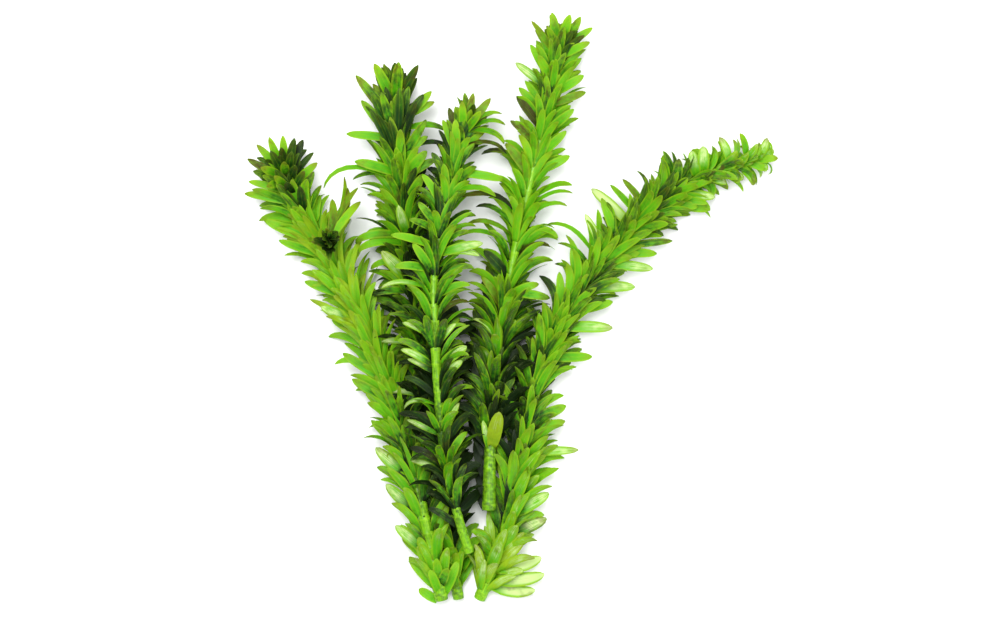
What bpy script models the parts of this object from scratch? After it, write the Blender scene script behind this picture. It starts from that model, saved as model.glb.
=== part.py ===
"""A bunch of elodea lying on a flat surface: five leafy cuttings that fan out from their cut ends.

Each cutting is a stem, the whorls of leaves along it and the growing tip at its end. The leaves of
one cutting number several hundred, so here they are one solid that reaches their tips. Where two
cuttings press together, their leaves stop against each other, and underneath they lie flat.

Every size below is in millimetres, and becomes metres when it reaches a mesh.
+Y runs from the cut ends to the tips, +Z is up, and Z = 0 is the surface that the bunch lies on.
"""

import math

import bmesh
import bpy
import numpy as np
from mathutils import Vector

MM = 0.001

# Stem. Its sides are shaded as a round surface, and its ends as flat ones.
STEM_RADIUS = 1.5
NODE_SWELL = 0.25
STEM_SIDES = 8
STEM_STEP = 6.0
SHARP_ANGLE = math.radians(50)

# Fits between the solids
BORE_GAP = 0.4
END_GAP = 0.4
NEIGHBOUR_GAP = 1.6
STEM_CLEARANCE = 1.8

# Leaves
LEAF_RANKS = 16
TIER_STEP = 7.0
NOTCH = 0.84
BARE_REACH = 2.6
SEARCH_STEP = 0.2

# Growing tip
TIP_LENGTH = 15.0
TIP_RINGS = 5
DOME_POWER = 2.5

# Points that the smooth line through a route is read at, for each stretch between two of its points
LINE_STEPS = 24

# How far to each side of a point its direction is read over
LOOK_ALONG = 1.0

# Each route runs from the cut end to the end of the growing tip. Its points are X, Y and Z, and how
# far the leaves reach from the stem there. "bare" is the length of stem with no leaves at the cut end.
CUTTINGS = {
    "far_left": {
        "bare": 4.0,
        "route": (
            (-25.5, -106.2, 8.5, 7.5),
            (-31.0, -80.0, 10.0, 10.5),
            (-36.5, -57.0, 10.5, 11.5),
            (-43.0, -34.0, 10.0, 12.0),
            (-54.5, -5.0, 9.0, 12.5),
            (-66.5, 18.0, 9.0, 13.5),
            (-79.0, 39.5, 9.0, 15.0),
            (-85.0, 60.0, 9.0, 12.0),
        ),
    },
    "mid_left": {
        "bare": 4.0,
        "route": (
            (-19.5, -106.2, 3.4, 7.0),
            (-23.0, -85.0, 5.0, 10.0),
            (-27.5, -55.5, 6.5, 12.0),
            (-31.0, -30.0, 7.5, 13.0),
            (-35.0, 3.0, 8.5, 13.5),
            (-39.5, 36.0, 9.0, 14.0),
            (-42.0, 64.0, 9.0, 14.0),
            (-42.0, 87.5, 9.0, 10.5),
        ),
    },
    "centre": {
        "bare": 17.0,
        "route": (
            (-15.5, -88.5, 13.0, 4.0),
            (-20.0, -73.5, 16.0, 8.0),
            (-24.5, -52.0, 19.5, 11.0),
            (-26.5, -29.0, 21.5, 12.5),
            (-28.0, -2.0, 22.5, 13.0),
            (-27.0, 20.0, 21.0, 13.0),
            (-20.0, 53.5, 13.5, 12.5),
            (-13.5, 75.5, 9.0, 9.0),
        ),
    },
    "mid_right": {
        "bare": 24.0,
        "route": (
            (-8.5, -73.5, 10.0, 4.0),
            (-8.0, -52.0, 10.0, 9.5),
            (-6.0, -23.0, 9.5, 12.0),
            (-2.5, 3.0, 9.0, 13.0),
            (5.0, 38.5, 9.0, 13.0),
            (13.0, 73.0, 9.0, 12.5),
            (19.5, 106.5, 8.5, 9.5),
        ),
    },
    "far_right": {
        "bare": 4.0,
        "route": (
            (-12.0, -106.2, 4.5, 8.0),
            (-4.5, -87.0, 7.5, 13.5),
            (2.5, -57.0, 9.0, 13.0),
            (7.5, -30.0, 9.5, 13.5),
            (22.5, 2.5, 9.0, 14.0),
            (45.5, 30.5, 9.0, 13.5),
            (69.0, 47.0, 8.0, 10.5),
            (95.5, 54.5, 6.5, 7.5),
        ),
    },
}

# A young side shoot grows up from the far left cutting, and so far it is only a growing tip.
SIDE_SHOOT_ROUTE = (
    (-66.0, 20.0, 12.5, 5.0),
    (-64.5, 23.0, 20.0, 7.0),
    (-62.0, 26.5, 29.0, 6.0),
)

COLOURS = {
    "stem": (0.33, 0.52, 0.10, 1.0),
    "leaves": (0.10, 0.33, 0.03, 1.0),
    "tip": (0.22, 0.48, 0.06, 1.0),
}
ROUGHNESS = {"stem": 0.4, "leaves": 0.45, "tip": 0.45}


def clear_scene():
    for obj in list(bpy.data.objects):
        bpy.data.objects.remove(obj)


def plant_material(kind):
    material = bpy.data.materials.get(kind) or bpy.data.materials.new(kind)
    material.use_nodes = True
    shader = material.node_tree.nodes["Principled BSDF"]
    shader.inputs["Base Color"].default_value = COLOURS[kind]
    shader.inputs["Roughness"].default_value = ROUGHNESS[kind]
    shader.inputs["Metallic"].default_value = 0.0
    return material


def smooth_line(route):
    """The route as closely spaced rows of X, Y, Z and reach, on a Catmull-Rom line through its points."""
    points = np.array(route, float)
    before = 2 * points[0] - points[1]
    after = 2 * points[-1] - points[-2]
    padded = np.vstack([before, points, after])
    rows = []
    for i in range(1, len(padded) - 2):
        a, b, c, d = padded[i - 1 : i + 3]
        for t in np.arange(LINE_STEPS) / LINE_STEPS:
            point = 2 * b + (c - a) * t
            point += (2 * a - 5 * b + 4 * c - d) * t**2
            point += (3 * b - a - 3 * c + d) * t**3
            rows.append(point / 2)
    rows.append(points[-1])
    return np.array(rows)


def lengths_along(line):
    steps = np.linalg.norm(np.diff(line[:, :3], axis=0), axis=1)
    return np.concatenate([[0.0], np.cumsum(steps)])


def at_length(line, distance):
    """X, Y, Z and reach at that distance from the cut end."""
    along = lengths_along(line)
    return np.array([np.interp(distance, along, line[:, k]) for k in range(4)])


def cross_axes(line, distance):
    """Two directions square to the stem at that distance: one level, one pointing up."""
    ahead = (at_length(line, distance + LOOK_ALONG) - at_length(line, distance - LOOK_ALONG))[:3]
    ahead /= np.linalg.norm(ahead)
    level = np.cross(ahead, (0.0, 0.0, 1.0))
    level /= np.linalg.norm(level)
    return level, np.cross(level, ahead)


def directions(line, distance, count):
    level, up = cross_axes(line, distance)
    turns = [2 * math.pi * k / count for k in range(count)]
    return [math.cos(turn) * level + math.sin(turn) * up for turn in turns]


def distances(line, points):
    return np.linalg.norm(points[:, None, :] - line[None, :, :3], axis=2)


def claims(name, lines, points):
    """How far each point is from this cutting's stem, as a share of its leaves' reach there.

    Its leaves claim their room one tier before they start, so that a neighbour draws in smoothly.
    """
    line = lines[name]
    leafless = lengths_along(line) < CUTTINGS[name]["bare"] - TIER_STEP
    reach = np.where(leafless, BARE_REACH, line[:, 3])
    return (distances(line, points) / reach).min(axis=1)


def free_reach(name, lines, start, direction, wanted):
    """How far the leaves get from the stem before the surface below or another cutting stops them."""
    steps = np.arange(STEM_RADIUS, wanted, SEARCH_STEP)
    points = start + steps[:, None] * direction
    for other in set(lines) - {name}:
        beyond = claims(other, lines, points) <= claims(name, lines, points)
        touching = distances(lines[other], points).min(axis=1) < STEM_RADIUS + NODE_SWELL + STEM_CLEARANCE
        stopped = beyond | touching
        if stopped.any():
            wanted = min(wanted, steps[stopped.argmax()] - NEIGHBOUR_GAP / 2)
    if direction[2] < 0:
        wanted = min(wanted, start[2] / -direction[2])
    return wanted


def outer_ring(name, lines, distance, tier, share=1.0):
    """One ring of leaf tips, with every second rank drawn in, the other ranks on each next tier."""
    line = lines[name]
    here = at_length(line, distance)
    ring = []
    for rank, direction in enumerate(directions(line, distance, LEAF_RANKS)):
        notch = NOTCH if (rank + tier) % 2 else 1.0
        wanted = here[3] * notch * share
        ring.append(here[:3] + free_reach(name, lines, here[:3], direction, wanted) * direction)
    return ring


def round_ring(line, distance, radius, sides):
    start = at_length(line, distance)[:3]
    return [start + radius * direction for direction in directions(line, distance, sides)]


def add_ring(mesh, points):
    return [mesh.verts.new(point * MM) for point in points]


def join_rings(mesh, first, second):
    count = len(first)
    for k in range(count):
        after = (k + 1) % count
        mesh.faces.new((first[k], first[after], second[after], second[k]))


def join_wide_to_narrow(mesh, wide, narrow):
    """Closes the flat end between the leaf tips and the stem's hole, two ranks to each side of the hole."""
    count = len(narrow)
    for k in range(count):
        a, b, c = (wide[(2 * k + i) % len(wide)] for i in range(3))
        mesh.faces.new((narrow[k], a, b, c, narrow[(k + 1) % count]))


def finished_object(name, kind, mesh):
    bmesh.ops.recalc_face_normals(mesh, faces=mesh.faces)
    data = bpy.data.meshes.new(name)
    mesh.to_mesh(data)
    mesh.free()
    data.materials.append(plant_material(kind))
    obj = bpy.data.objects.new(name, data)
    bpy.context.collection.objects.link(obj)
    return obj


def stations(first, last, step):
    count = max(2, round((last - first) / step) + 1)
    return np.linspace(first, last, count)


def add_stem(name, lines):
    """A round stem with a slight swelling at every second point, where a whorl grows."""
    line = lines[name]
    last = lengths_along(line)[-1] - TIP_LENGTH - END_GAP
    mesh = bmesh.new()
    rings = []
    for i, distance in enumerate(stations(0.0, last, STEM_STEP)):
        radius = STEM_RADIUS + (NODE_SWELL if i % 2 else 0.0)
        rings.append(add_ring(mesh, round_ring(line, distance, radius, STEM_SIDES)))
    for first, second in zip(rings, rings[1:]):
        join_rings(mesh, first, second)
    mesh.faces.new(rings[0])
    mesh.faces.new(rings[-1])
    stem = finished_object(f"{name}_stem", "stem", mesh)
    stem.data.shade_smooth()
    stem.data.set_sharp_from_angle(angle=SHARP_ANGLE)


def add_leaves(name, lines):
    """The whorls of one cutting as a solid that reaches their tips, with a hole for the stem."""
    line = lines[name]
    first = CUTTINGS[name]["bare"]
    last = lengths_along(line)[-1] - TIP_LENGTH - END_GAP
    bore = (STEM_RADIUS + NODE_SWELL + BORE_GAP) / math.cos(math.pi / STEM_SIDES)
    mesh = bmesh.new()
    outer = []
    inner = []
    for tier, distance in enumerate(stations(first, last, TIER_STEP)):
        outer.append(add_ring(mesh, outer_ring(name, lines, distance, tier)))
        inner.append(add_ring(mesh, round_ring(line, distance, bore, STEM_SIDES)))
    for rings in (outer, inner):
        for a, b in zip(rings, rings[1:]):
            join_rings(mesh, a, b)
    join_wide_to_narrow(mesh, outer[0], inner[0])
    join_wide_to_narrow(mesh, outer[-1], inner[-1])
    finished_object(f"{name}_leaves", "leaves", mesh)


def add_growing_tip(name, lines):
    """The tight tuft of young leaves at the end of a stem, as a dome."""
    line = lines[name]
    end = lengths_along(line)[-1]
    mesh = bmesh.new()
    rings = []
    for tier in range(TIP_RINGS):
        rise = tier / TIP_RINGS
        distance = end - TIP_LENGTH * (1 - rise)
        share = math.sqrt(1 - rise**DOME_POWER)
        rings.append(add_ring(mesh, outer_ring(name, lines, distance, tier, share)))
    for a, b in zip(rings, rings[1:]):
        join_rings(mesh, a, b)
    mesh.faces.new(rings[0])
    top = mesh.verts.new(at_length(line, end)[:3] * MM)
    for k in range(LEAF_RANKS):
        mesh.faces.new((rings[-1][k], rings[-1][(k + 1) % LEAF_RANKS], top))
    return finished_object(f"{name}_tip", "tip", mesh)


def make_room(around, solid):
    """Cuts a recess with a small gap into the solid, where the other object stands in it."""
    cutter = around.copy()
    cutter.data = around.data.copy()
    cutter.name = f"{around.name}_cutter"
    cutter.hide_render = True
    cutter.display_type = "WIRE"
    bpy.context.collection.objects.link(cutter)
    points = cutter.data.vertices
    middle = sum((point.co for point in points), Vector()) / len(points)
    for point in points:
        point.co += (point.co - middle).normalized() * NEIGHBOUR_GAP * MM
    cut = solid.modifiers.new("room", "BOOLEAN")
    cut.operation = "DIFFERENCE"
    cut.solver = "EXACT"
    cut.object = cutter


def build():
    clear_scene()
    lines = {name: smooth_line(cutting["route"]) for name, cutting in CUTTINGS.items()}
    for name in CUTTINGS:
        add_stem(name, lines)
        add_leaves(name, lines)
        add_growing_tip(name, lines)
    side_shoot = add_growing_tip("side_shoot", {"side_shoot": smooth_line(SIDE_SHOOT_ROUTE)})
    make_room(side_shoot, bpy.data.objects["far_left_leaves"])


build()
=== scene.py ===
import math

import bpy
import numpy as np
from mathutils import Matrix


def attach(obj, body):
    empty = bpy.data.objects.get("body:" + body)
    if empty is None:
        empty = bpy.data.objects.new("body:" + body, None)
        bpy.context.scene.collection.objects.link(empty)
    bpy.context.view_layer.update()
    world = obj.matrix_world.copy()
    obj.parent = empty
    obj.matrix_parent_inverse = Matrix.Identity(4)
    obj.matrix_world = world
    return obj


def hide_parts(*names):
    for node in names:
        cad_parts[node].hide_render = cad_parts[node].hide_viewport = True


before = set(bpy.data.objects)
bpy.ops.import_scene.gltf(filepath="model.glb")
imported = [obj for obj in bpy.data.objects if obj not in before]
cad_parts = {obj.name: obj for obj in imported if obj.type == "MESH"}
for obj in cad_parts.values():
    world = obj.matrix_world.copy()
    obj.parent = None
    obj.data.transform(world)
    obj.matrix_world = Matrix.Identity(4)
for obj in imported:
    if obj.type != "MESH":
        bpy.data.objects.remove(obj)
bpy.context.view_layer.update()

# Stems. Each cutting is one soft, juicy stem 3 to 5 mm thick, ringed by a slight swelling wherever
# a whorl of leaves grows. It was cut square at its lower end, and it tapers away inside the tip.

MM = 0.001
SWELLING = 0.07
SWELLING_LENGTH = 0.85
LOWEST_RING = 2.0
STEM_SIDES = 16
STEM_STEP = 0.4
APEX_TAPER = 14.0
APEX_SHARE = 0.3
LINE_STEPS = 24
LOOK_ALONG = 1.0
# The cut edge is rounded: how far up the stem, and the share of its radius there.
CUT_EDGE_AT = (0.0, 0.12, 0.5)
CUT_EDGE_SHARE = (0.82, 0.95, 1.0)

# From the cut end to the top of the growing tip: X, Y and Z of the stem, the gap from each whorl to
# the next and the stem's radius, in millimetres, and its tone from -1 for lime to 1 for dark, the
# dark partly painted shade where a stem lies low in the bunch.
ROUTES = {
    "far_left": (
        (-25.5, -106.2, 8.5, 4.4, 2.4, 0.3),
        (-31.0, -80.0, 10.0, 5.4, 2.3, 0.1),
        (-36.5, -57.0, 10.5, 3.6, 1.8, 0.8),
        (-43.0, -34.0, 10.0, 3.1, 1.5, 0.4),
        (-54.5, -5.0, 9.0, 3.0, 1.5, 0.4),
        (-66.5, 18.0, 9.0, 3.1, 1.5, 0.4),
        (-79.0, 39.5, 9.0, 3.2, 1.5, 0.7),
        (-85.0, 60.0, 9.0, 2.6, 1.4, 0.7),
    ),
    "mid_left": (
        (-19.5, -106.2, 3.4, 4.0, 2.0, 0.3),
        (-23.0, -85.0, 5.0, 3.2, 1.8, 0.8),
        (-27.5, -55.5, 6.5, 3.2, 1.6, 1.0),
        (-31.0, -30.0, 7.5, 3.4, 1.5, 1.0),
        (-35.0, 3.0, 8.5, 3.6, 1.5, 0.8),
        (-39.5, 36.0, 9.0, 3.4, 1.5, 0.6),
        (-42.0, 64.0, 9.0, 3.2, 1.5, 0.6),
        (-42.0, 87.5, 9.0, 2.8, 1.4, 0.4),
    ),
    "centre": (
        (-15.5, -88.5, 13.0, 7.0, 1.8, 0.1),
        (-20.0, -73.5, 16.0, 4.4, 1.6, 0.5),
        (-24.5, -52.0, 19.5, 5.0, 1.6, 0.9),
        (-26.5, -29.0, 21.5, 5.0, 1.8, 0.35),
        (-28.0, -2.0, 22.5, 5.0, 1.7, 0.1),
        (-27.0, 20.0, 21.0, 4.6, 1.45, 0.2),
        (-20.0, 53.5, 13.5, 3.3, 1.4, 0.3),
        (-13.5, 75.5, 9.0, 2.6, 1.2, 0.3),
    ),
    "mid_right": (
        (-8.5, -73.5, 10.0, 8.0, 2.5, 0.4),
        (-8.0, -52.0, 10.0, 3.4, 2.1, 0.5),
        (-6.0, -23.0, 9.5, 3.6, 1.6, 0.9),
        (-2.5, 3.0, 9.0, 3.9, 1.6, -0.1),
        (5.0, 38.5, 9.0, 3.7, 1.7, -0.5),
        (13.0, 73.0, 9.0, 3.2, 1.5, 0.0),
        (19.5, 106.5, 8.5, 2.6, 1.3, 0.0),
    ),
    "far_right": (
        (-12.0, -106.2, 4.5, 3.6, 2.2, 0.0),
        (-4.5, -87.0, 7.5, 3.6, 1.9, 0.0),
        (2.5, -57.0, 9.0, 3.2, 1.6, 0.2),
        (7.5, -30.0, 9.5, 3.1, 1.5, 0.2),
        (22.5, 2.5, 9.0, 3.0, 1.5, 0.2),
        (45.5, 30.5, 9.0, 2.8, 1.5, 0.2),
        (69.0, 47.0, 8.0, 2.8, 1.3, 0.3),
        (95.5, 54.5, 6.5, 2.4, 0.9, 0.0),
    ),
}
GAP, RADIUS, TONE = 3, 4, 5
# How far up from the cut end the lowest whorl grows, and how far below the very top the stem ends.
BARE_ENDS = {
    "far_left": (5.0, 14.0),
    "mid_left": (4.0, 14.5),
    "centre": (17.0, 13.0),
    "mid_right": (22.0, 14.0),
    "far_right": (3.0, 6.0),
}


def smooth_line(route):
    """A Catmull-Rom line through the rows of the route."""
    rows = np.array(route, float)
    rows = np.vstack([2 * rows[0] - rows[1], rows, 2 * rows[-1] - rows[-2]])
    line = []
    for i in range(1, len(rows) - 2):
        a, b, c, d = rows[i - 1 : i + 3]
        for t in np.arange(LINE_STEPS) / LINE_STEPS:
            point = 2 * b + (c - a) * t
            point += (2 * a - 5 * b + 4 * c - d) * t**2
            point += (3 * b - a - 3 * c + d) * t**3
            line.append(point / 2)
    return np.array(line + [rows[-2]])


def distances_along(line):
    steps = np.linalg.norm(np.diff(line[:, :3], axis=0), axis=1)
    return np.concatenate([[0.0], np.cumsum(steps)])


def row_at(line, distance):
    along = distances_along(line)
    return np.array([np.interp(distance, along, column) for column in line.T])


def heading_at(line, distance):
    ahead = (row_at(line, distance + LOOK_ALONG) - row_at(line, distance - LOOK_ALONG))[:3]
    return ahead / np.linalg.norm(ahead)


def radius_at(line, distance, end):
    """The stem's radius between whorls, which shrinks away towards its end in the growing tip."""
    return row_at(line, distance)[RADIUS] * np.clip((end - distance) / APEX_TAPER, APEX_SHARE, 1.0)


def whorl_distances(line, first, end):
    """Where the whorls grow: each gap is read from the line at the whorl below it."""
    found = [first]
    while found[-1] < end:
        found.append(found[-1] + row_at(line, found[-1])[GAP])
    return found[:-1]


lines = {name: smooth_line(route) for name, route in ROUTES.items()}
ends = {name: distances_along(line)[-1] - BARE_ENDS[name][1] for name, line in lines.items()}
whorls = {name: whorl_distances(lines[name], BARE_ENDS[name][0], ends[name]) for name in lines}


def new_tree(name, kind, inputs):
    """An empty node tree with these named inputs, each a name, a socket type and a value."""
    tree = bpy.data.node_groups.new(name, kind)
    for label, socket_type, value in inputs:
        socket = tree.interface.new_socket(name=label, in_out="INPUT", socket_type=socket_type)
        if value is not None:
            socket.default_value = value
    return tree


def enabled(sockets, name):
    return next(s for s in sockets if s.name == name and s.enabled)


def add_node(tree, kind, settings=None, **inputs):
    """A node with its settings, and its inputs by name, with _ for each space."""
    node = tree.nodes.new(kind)
    for setting, value in (settings or {}).items():
        setattr(node, setting, value)
    for name, value in inputs.items():
        feed(tree, value, enabled(node.inputs, name.replace("_", " ")))
    return node


def feed(tree, value, socket):
    if isinstance(value, Field):
        value = value.socket
    if isinstance(value, bpy.types.NodeSocket):
        tree.links.new(value, socket)
    else:
        socket.default_value = value


class Field:
    """A number or a vector that a tree works out, so that a shape reads as a formula."""

    def __init__(self, tree, socket):
        self.tree, self.socket = tree, socket

    def is_vector(self):
        return self.socket.type == "VECTOR"

    def math(self, operation, *others):
        node = self.tree.nodes.new("ShaderNodeVectorMath" if self.is_vector() else "ShaderNodeMath")
        node.operation = operation
        for value, socket in zip((self, *others), node.inputs):
            feed(self.tree, value, socket)
        return Field(self.tree, node.outputs[0])

    def __add__(self, other):
        return self.math("ADD", other)

    def __sub__(self, other):
        return self.math("SUBTRACT", other)

    def __mul__(self, other):
        if not self.is_vector():
            return self.math("MULTIPLY", other)
        scaled = self.math("SCALE")
        feed(self.tree, other, scaled.socket.node.inputs["Scale"])
        return scaled

    def __truediv__(self, other):
        return self.math("DIVIDE", other)

    def __radd__(self, other):
        return self + other

    def __rsub__(self, other):
        return self * -1.0 + other

    def __pow__(self, power):
        return self.math("POWER", power)

    def sin(self):
        return self.math("SINE")

    def cos(self):
        return self.math("COSINE")

    def size(self):
        return self.math("ABSOLUTE")

    def ramp(self, low, high, to_low=0.0, to_high=1.0):
        """Rises smoothly from to_low where this is low to to_high where it is high."""
        node = self.tree.nodes.new("ShaderNodeMapRange")
        node.interpolation_type = "SMOOTHSTEP"
        for value, socket in zip((self, low, high, to_low, to_high), node.inputs):
            feed(self.tree, value, socket)
        return Field(self.tree, node.outputs[0])


def attribute(tree, name, kind="FLOAT"):
    """A named attribute, read in a Geometry Nodes tree."""
    node = tree.nodes.new("GeometryNodeInputNamedAttribute")
    node.data_type = kind
    node.inputs["Name"].default_value = name
    return Field(tree, enabled(node.outputs, "Attribute"))


def position(tree):
    return Field(tree, tree.nodes.new("GeometryNodeInputPosition").outputs[0])


def store(tree, geometry, name, value, kind=None, domain="POINT"):
    """Stores a field, by default as a number or a vector, whichever it is."""
    kind = kind or ("FLOAT_VECTOR" if value.is_vector() else "FLOAT")
    settings = {"data_type": kind, "domain": domain}
    node = add_node(
        tree, "GeometryNodeStoreNamedAttribute", settings, Geometry=geometry, Name=name, Value=value
    )
    return node.outputs["Geometry"]


def finish_tree(tree, geometry, material):
    """Every tree ends in real mesh with its material on it."""
    real = add_node(tree, "GeometryNodeRealizeInstances", Geometry=geometry)
    painted = add_node(
        tree, "GeometryNodeSetMaterial", Geometry=real.outputs["Geometry"], Material=material
    )
    tree.interface.new_socket(name="Geometry", in_out="OUTPUT", socket_type="NodeSocketGeometry")
    out = tree.nodes.new("NodeGroupOutput")
    tree.links.new(painted.outputs["Geometry"], out.inputs["Geometry"])


def seed_mesh(name, points, edges, attributes):
    """Points in millimetres with their attributes, for a tree to grow a piece from."""
    mesh = bpy.data.meshes.new(name)
    mesh.from_pydata([tuple(p) for p in np.array(points) * MM], edges, [])
    for label, values in attributes.items():
        values = np.array(values)
        kind = "FLOAT_VECTOR" if values.ndim == 2 else "INT" if values.dtype.kind == "i" else "FLOAT"
        data = mesh.attributes.new(label, kind, "POINT").data
        data.foreach_set("vector" if values.ndim == 2 else "value", values.ravel())
    return mesh


def grown_piece(name, seed, tree, inputs, working=()):
    """Runs the tree on the seed mesh and keeps the result as a plain mesh."""
    grower = bpy.data.objects.new(name + "_grower", seed)
    bpy.context.collection.objects.link(grower)
    nodes = grower.modifiers.new("grow", "NODES")
    nodes.node_group = tree
    identifiers = {s.name: s.identifier for s in tree.interface.items_tree if s.in_out == "INPUT"}
    for label, value in inputs.items():
        nodes[identifiers[label]] = value
    graph = bpy.context.evaluated_depsgraph_get()
    mesh = bpy.data.meshes.new_from_object(
        grower.evaluated_get(graph), preserve_all_data_layers=True, depsgraph=graph
    )
    bpy.data.objects.remove(grower)
    for label in working:
        if label in mesh.attributes:
            mesh.attributes.remove(mesh.attributes[label])
    mesh.name = name
    mesh.shade_smooth()
    piece = bpy.data.objects.new(name, mesh)
    bpy.context.collection.objects.link(piece)
    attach(piece, "root")
    return piece


stem_tree = new_tree(
    "elodea stem",
    "GeometryNodeTree",
    (
        ("Geometry", "NodeSocketGeometry", None),
        ("Sides", "NodeSocketInt", STEM_SIDES),
        ("Material", "NodeSocketMaterial", None),
    ),
)
given = stem_tree.nodes.new("NodeGroupInput").outputs
rail = add_node(stem_tree, "GeometryNodeMeshToCurve", Mesh=given["Geometry"]).outputs["Curve"]
ring = add_node(stem_tree, "GeometryNodeCurvePrimitiveCircle", Resolution=given["Sides"], Radius=1.0)
ring = store(stem_tree, ring.outputs["Curve"], "rim", position(stem_tree))
skin = add_node(
    stem_tree,
    "GeometryNodeCurveToMesh",
    Curve=rail,
    Profile_Curve=ring,
    Scale=attribute(stem_tree, "radius"),
    Fill_Caps=True,
)
finish_tree(stem_tree, skin.outputs["Mesh"], given["Material"])


def shader_value(tree, name, output="Fac"):
    """A named attribute, read in a material."""
    node = tree.nodes.new("ShaderNodeAttribute")
    node.attribute_name = name
    return Field(tree, node.outputs[output])


def noise(tree, where, scale, detail=2.0, roughness=0.5):
    inputs = {"Vector": where, "Scale": scale, "Detail": detail, "Roughness": roughness}
    return Field(tree, add_node(tree, "ShaderNodeTexNoise", **inputs).outputs["Fac"])


def blend(tree, share, first, second):
    """The first colour, with this share of the second over it."""
    node = tree.nodes.new("ShaderNodeMix")
    node.data_type = "RGBA"
    feed(tree, share, node.inputs[0])
    feed(tree, first, node.inputs[6])
    feed(tree, second, node.inputs[7])
    return Field(tree, node.outputs[2])


def new_material(name):
    material = bpy.data.materials.new(name)
    material.use_nodes = True
    tree = material.node_tree
    return material, tree, tree.nodes["Principled BSDF"], tree.nodes["Material Output"]


def joined_vector(tree, *parts):
    node = tree.nodes.new("ShaderNodeCombineXYZ")
    for part, socket in zip(parts, node.inputs):
        feed(tree, part, socket)
    return Field(tree, node.outputs[0])


def parts_of(tree, vector):
    node = tree.nodes.new("ShaderNodeSeparateXYZ")
    feed(tree, vector, node.inputs[0])
    return [Field(tree, socket) for socket in node.outputs]


def bump(tree, height, distance, strength):
    node = add_node(tree, "ShaderNodeBump", Height=height, Distance=distance, Strength=strength)
    return node.outputs["Normal"]


STEM_GREEN = (0.11, 0.32, 0.005, 1.0)
STEM_YELLOW = (0.22, 0.44, 0.010, 1.0)
STEM_DARK_AND_SHADE = (0.020, 0.060, 0.005, 1.0)
STEM_GLOSS = 0.2
SKIN_RELIEF = 0.2 * MM

stem_skin, tree, shader, _ = new_material("stem_skin")
rim_x, rim_y, _ = parts_of(tree, shader_value(tree, "rim", "Vector"))
far = shader_value(tree, "distance")
at_node = shader_value(tree, "at_node")
streaks = noise(tree, joined_vector(tree, rim_x * 3.0, rim_y * 3.0, far * 0.12), 1.6, 4.0)
mottle = noise(tree, joined_vector(tree, rim_x, rim_y, far * 0.6), 1.3, 3.0)
tone = shader_value(tree, "tone") + (mottle - 0.5) * 1.8
colour = blend(tree, streaks.ramp(0.35, 0.7), STEM_GREEN, STEM_YELLOW)
colour = blend(tree, at_node.ramp(0.75, 1.0, 0.0, 0.6), colour, STEM_YELLOW)
# darker by the route's tone, partly painted shade, and by the mottle
colour = blend(tree, tone.ramp(0.0, 1.0, 0.0, 0.92), colour, STEM_DARK_AND_SHADE)
# darker patches at each node
node_dark = at_node.ramp(0.75, 0.98, 0.0, 0.35) * mottle.ramp(0.45, 0.6)
colour = blend(tree, node_dark, colour, STEM_DARK_AND_SHADE)
feed(tree, colour, shader.inputs["Base Color"])
feed(tree, mottle.ramp(0.3, 0.7, 0.28, 0.42), shader.inputs["Roughness"])
feed(tree, bump(tree, streaks, SKIN_RELIEF, 0.5), shader.inputs["Normal"])
shader.inputs["Specular IOR Level"].default_value = STEM_GLOSS

for name, line in lines.items():
    end = ends[name]
    stations = np.concatenate([CUT_EDGE_AT[:2], np.arange(CUT_EDGE_AT[2], end, STEM_STEP), [end]])
    rings = whorl_distances(line, LOWEST_RING, whorls[name][0]) + whorls[name]
    nearest = np.abs(stations[:, None] - np.array(rings)[None, :]).min(axis=1)
    at_node = np.exp(-((nearest / SWELLING_LENGTH) ** 2))
    radius = np.array([radius_at(line, s, end) for s in stations]) * (1.0 + SWELLING * at_node)
    radius *= np.interp(stations, CUT_EDGE_AT, CUT_EDGE_SHARE)
    seed = seed_mesh(
        name + "_stem_line",
        [row_at(line, s)[:3] for s in stations],
        [(i, i + 1) for i in range(len(stations) - 1)],
        {
            "radius": radius * MM,
            "distance": stations,
            "at_node": at_node,
            "tone": [row_at(line, s)[TONE] for s in stations],
        },
    )
    stalk = grown_piece(name + "_stalk", seed, stem_tree, {"Material": stem_skin}, ["radius"])
    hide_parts(name + "_stem")

# Leaves. They grow from the stem in close whorls, each a thin strap with a rounded point, two cells
# thick, that lets light through. The young ones stand close to the stem, and the older ones arch
# outwards and back.

LEAF_SIDES = 8
LEAF_SEGMENTS = 9
# A leaf bends little at its root and most near its tip. Where it leads is summed over three places
# along it, each with its weight (Gauss's rule).
BEND_SUM = ((0.1127, 5 / 18), (0.5, 8 / 18), (0.8873, 5 / 18))
# Half a leaf's width at places from its root to its tip
OUTLINE = ((0.0, 0.6), (0.1, 0.78), (0.3, 0.95), (0.55, 1.0), (0.76, 0.88), (0.91, 0.6), (1.0, 0.14))
# How far a leaf strays from the habit of its whorl: its turn, roll and twist in radians, its root in
# millimetres along the stem, its angle and bend as shares of their scatter, its length and width as
# shares of their own, and its sway to one side as a share of its length.
STRAY = {
    "turn": (-0.42, 0.42),
    "root": (-0.5, 0.5),
    "spread": (-1.0, 1.0),
    "bend": (-1.0, 1.0),
    "length": (-0.2, 0.14),
    "width": (-0.2, 0.18),
    "roll": (-0.36, 0.36),
    "twist": (-0.34, 0.34),
    "sway": (-0.18, 0.18),
}
RIPPLES = 17.0
# Painted shade near the other cuttings: within how far of another cutting's stem leaves are painted
# darkest, how far off it darkens none, and over what length above the cut ends that sets in
PAINTED_SHADE_NEAR, PAINTED_SHADE_FAR, PAINTED_SHADE_FADE = 7 * MM, 21 * MM, 16 * MM
PRESS_SOFTNESS = 0.8 * MM

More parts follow.
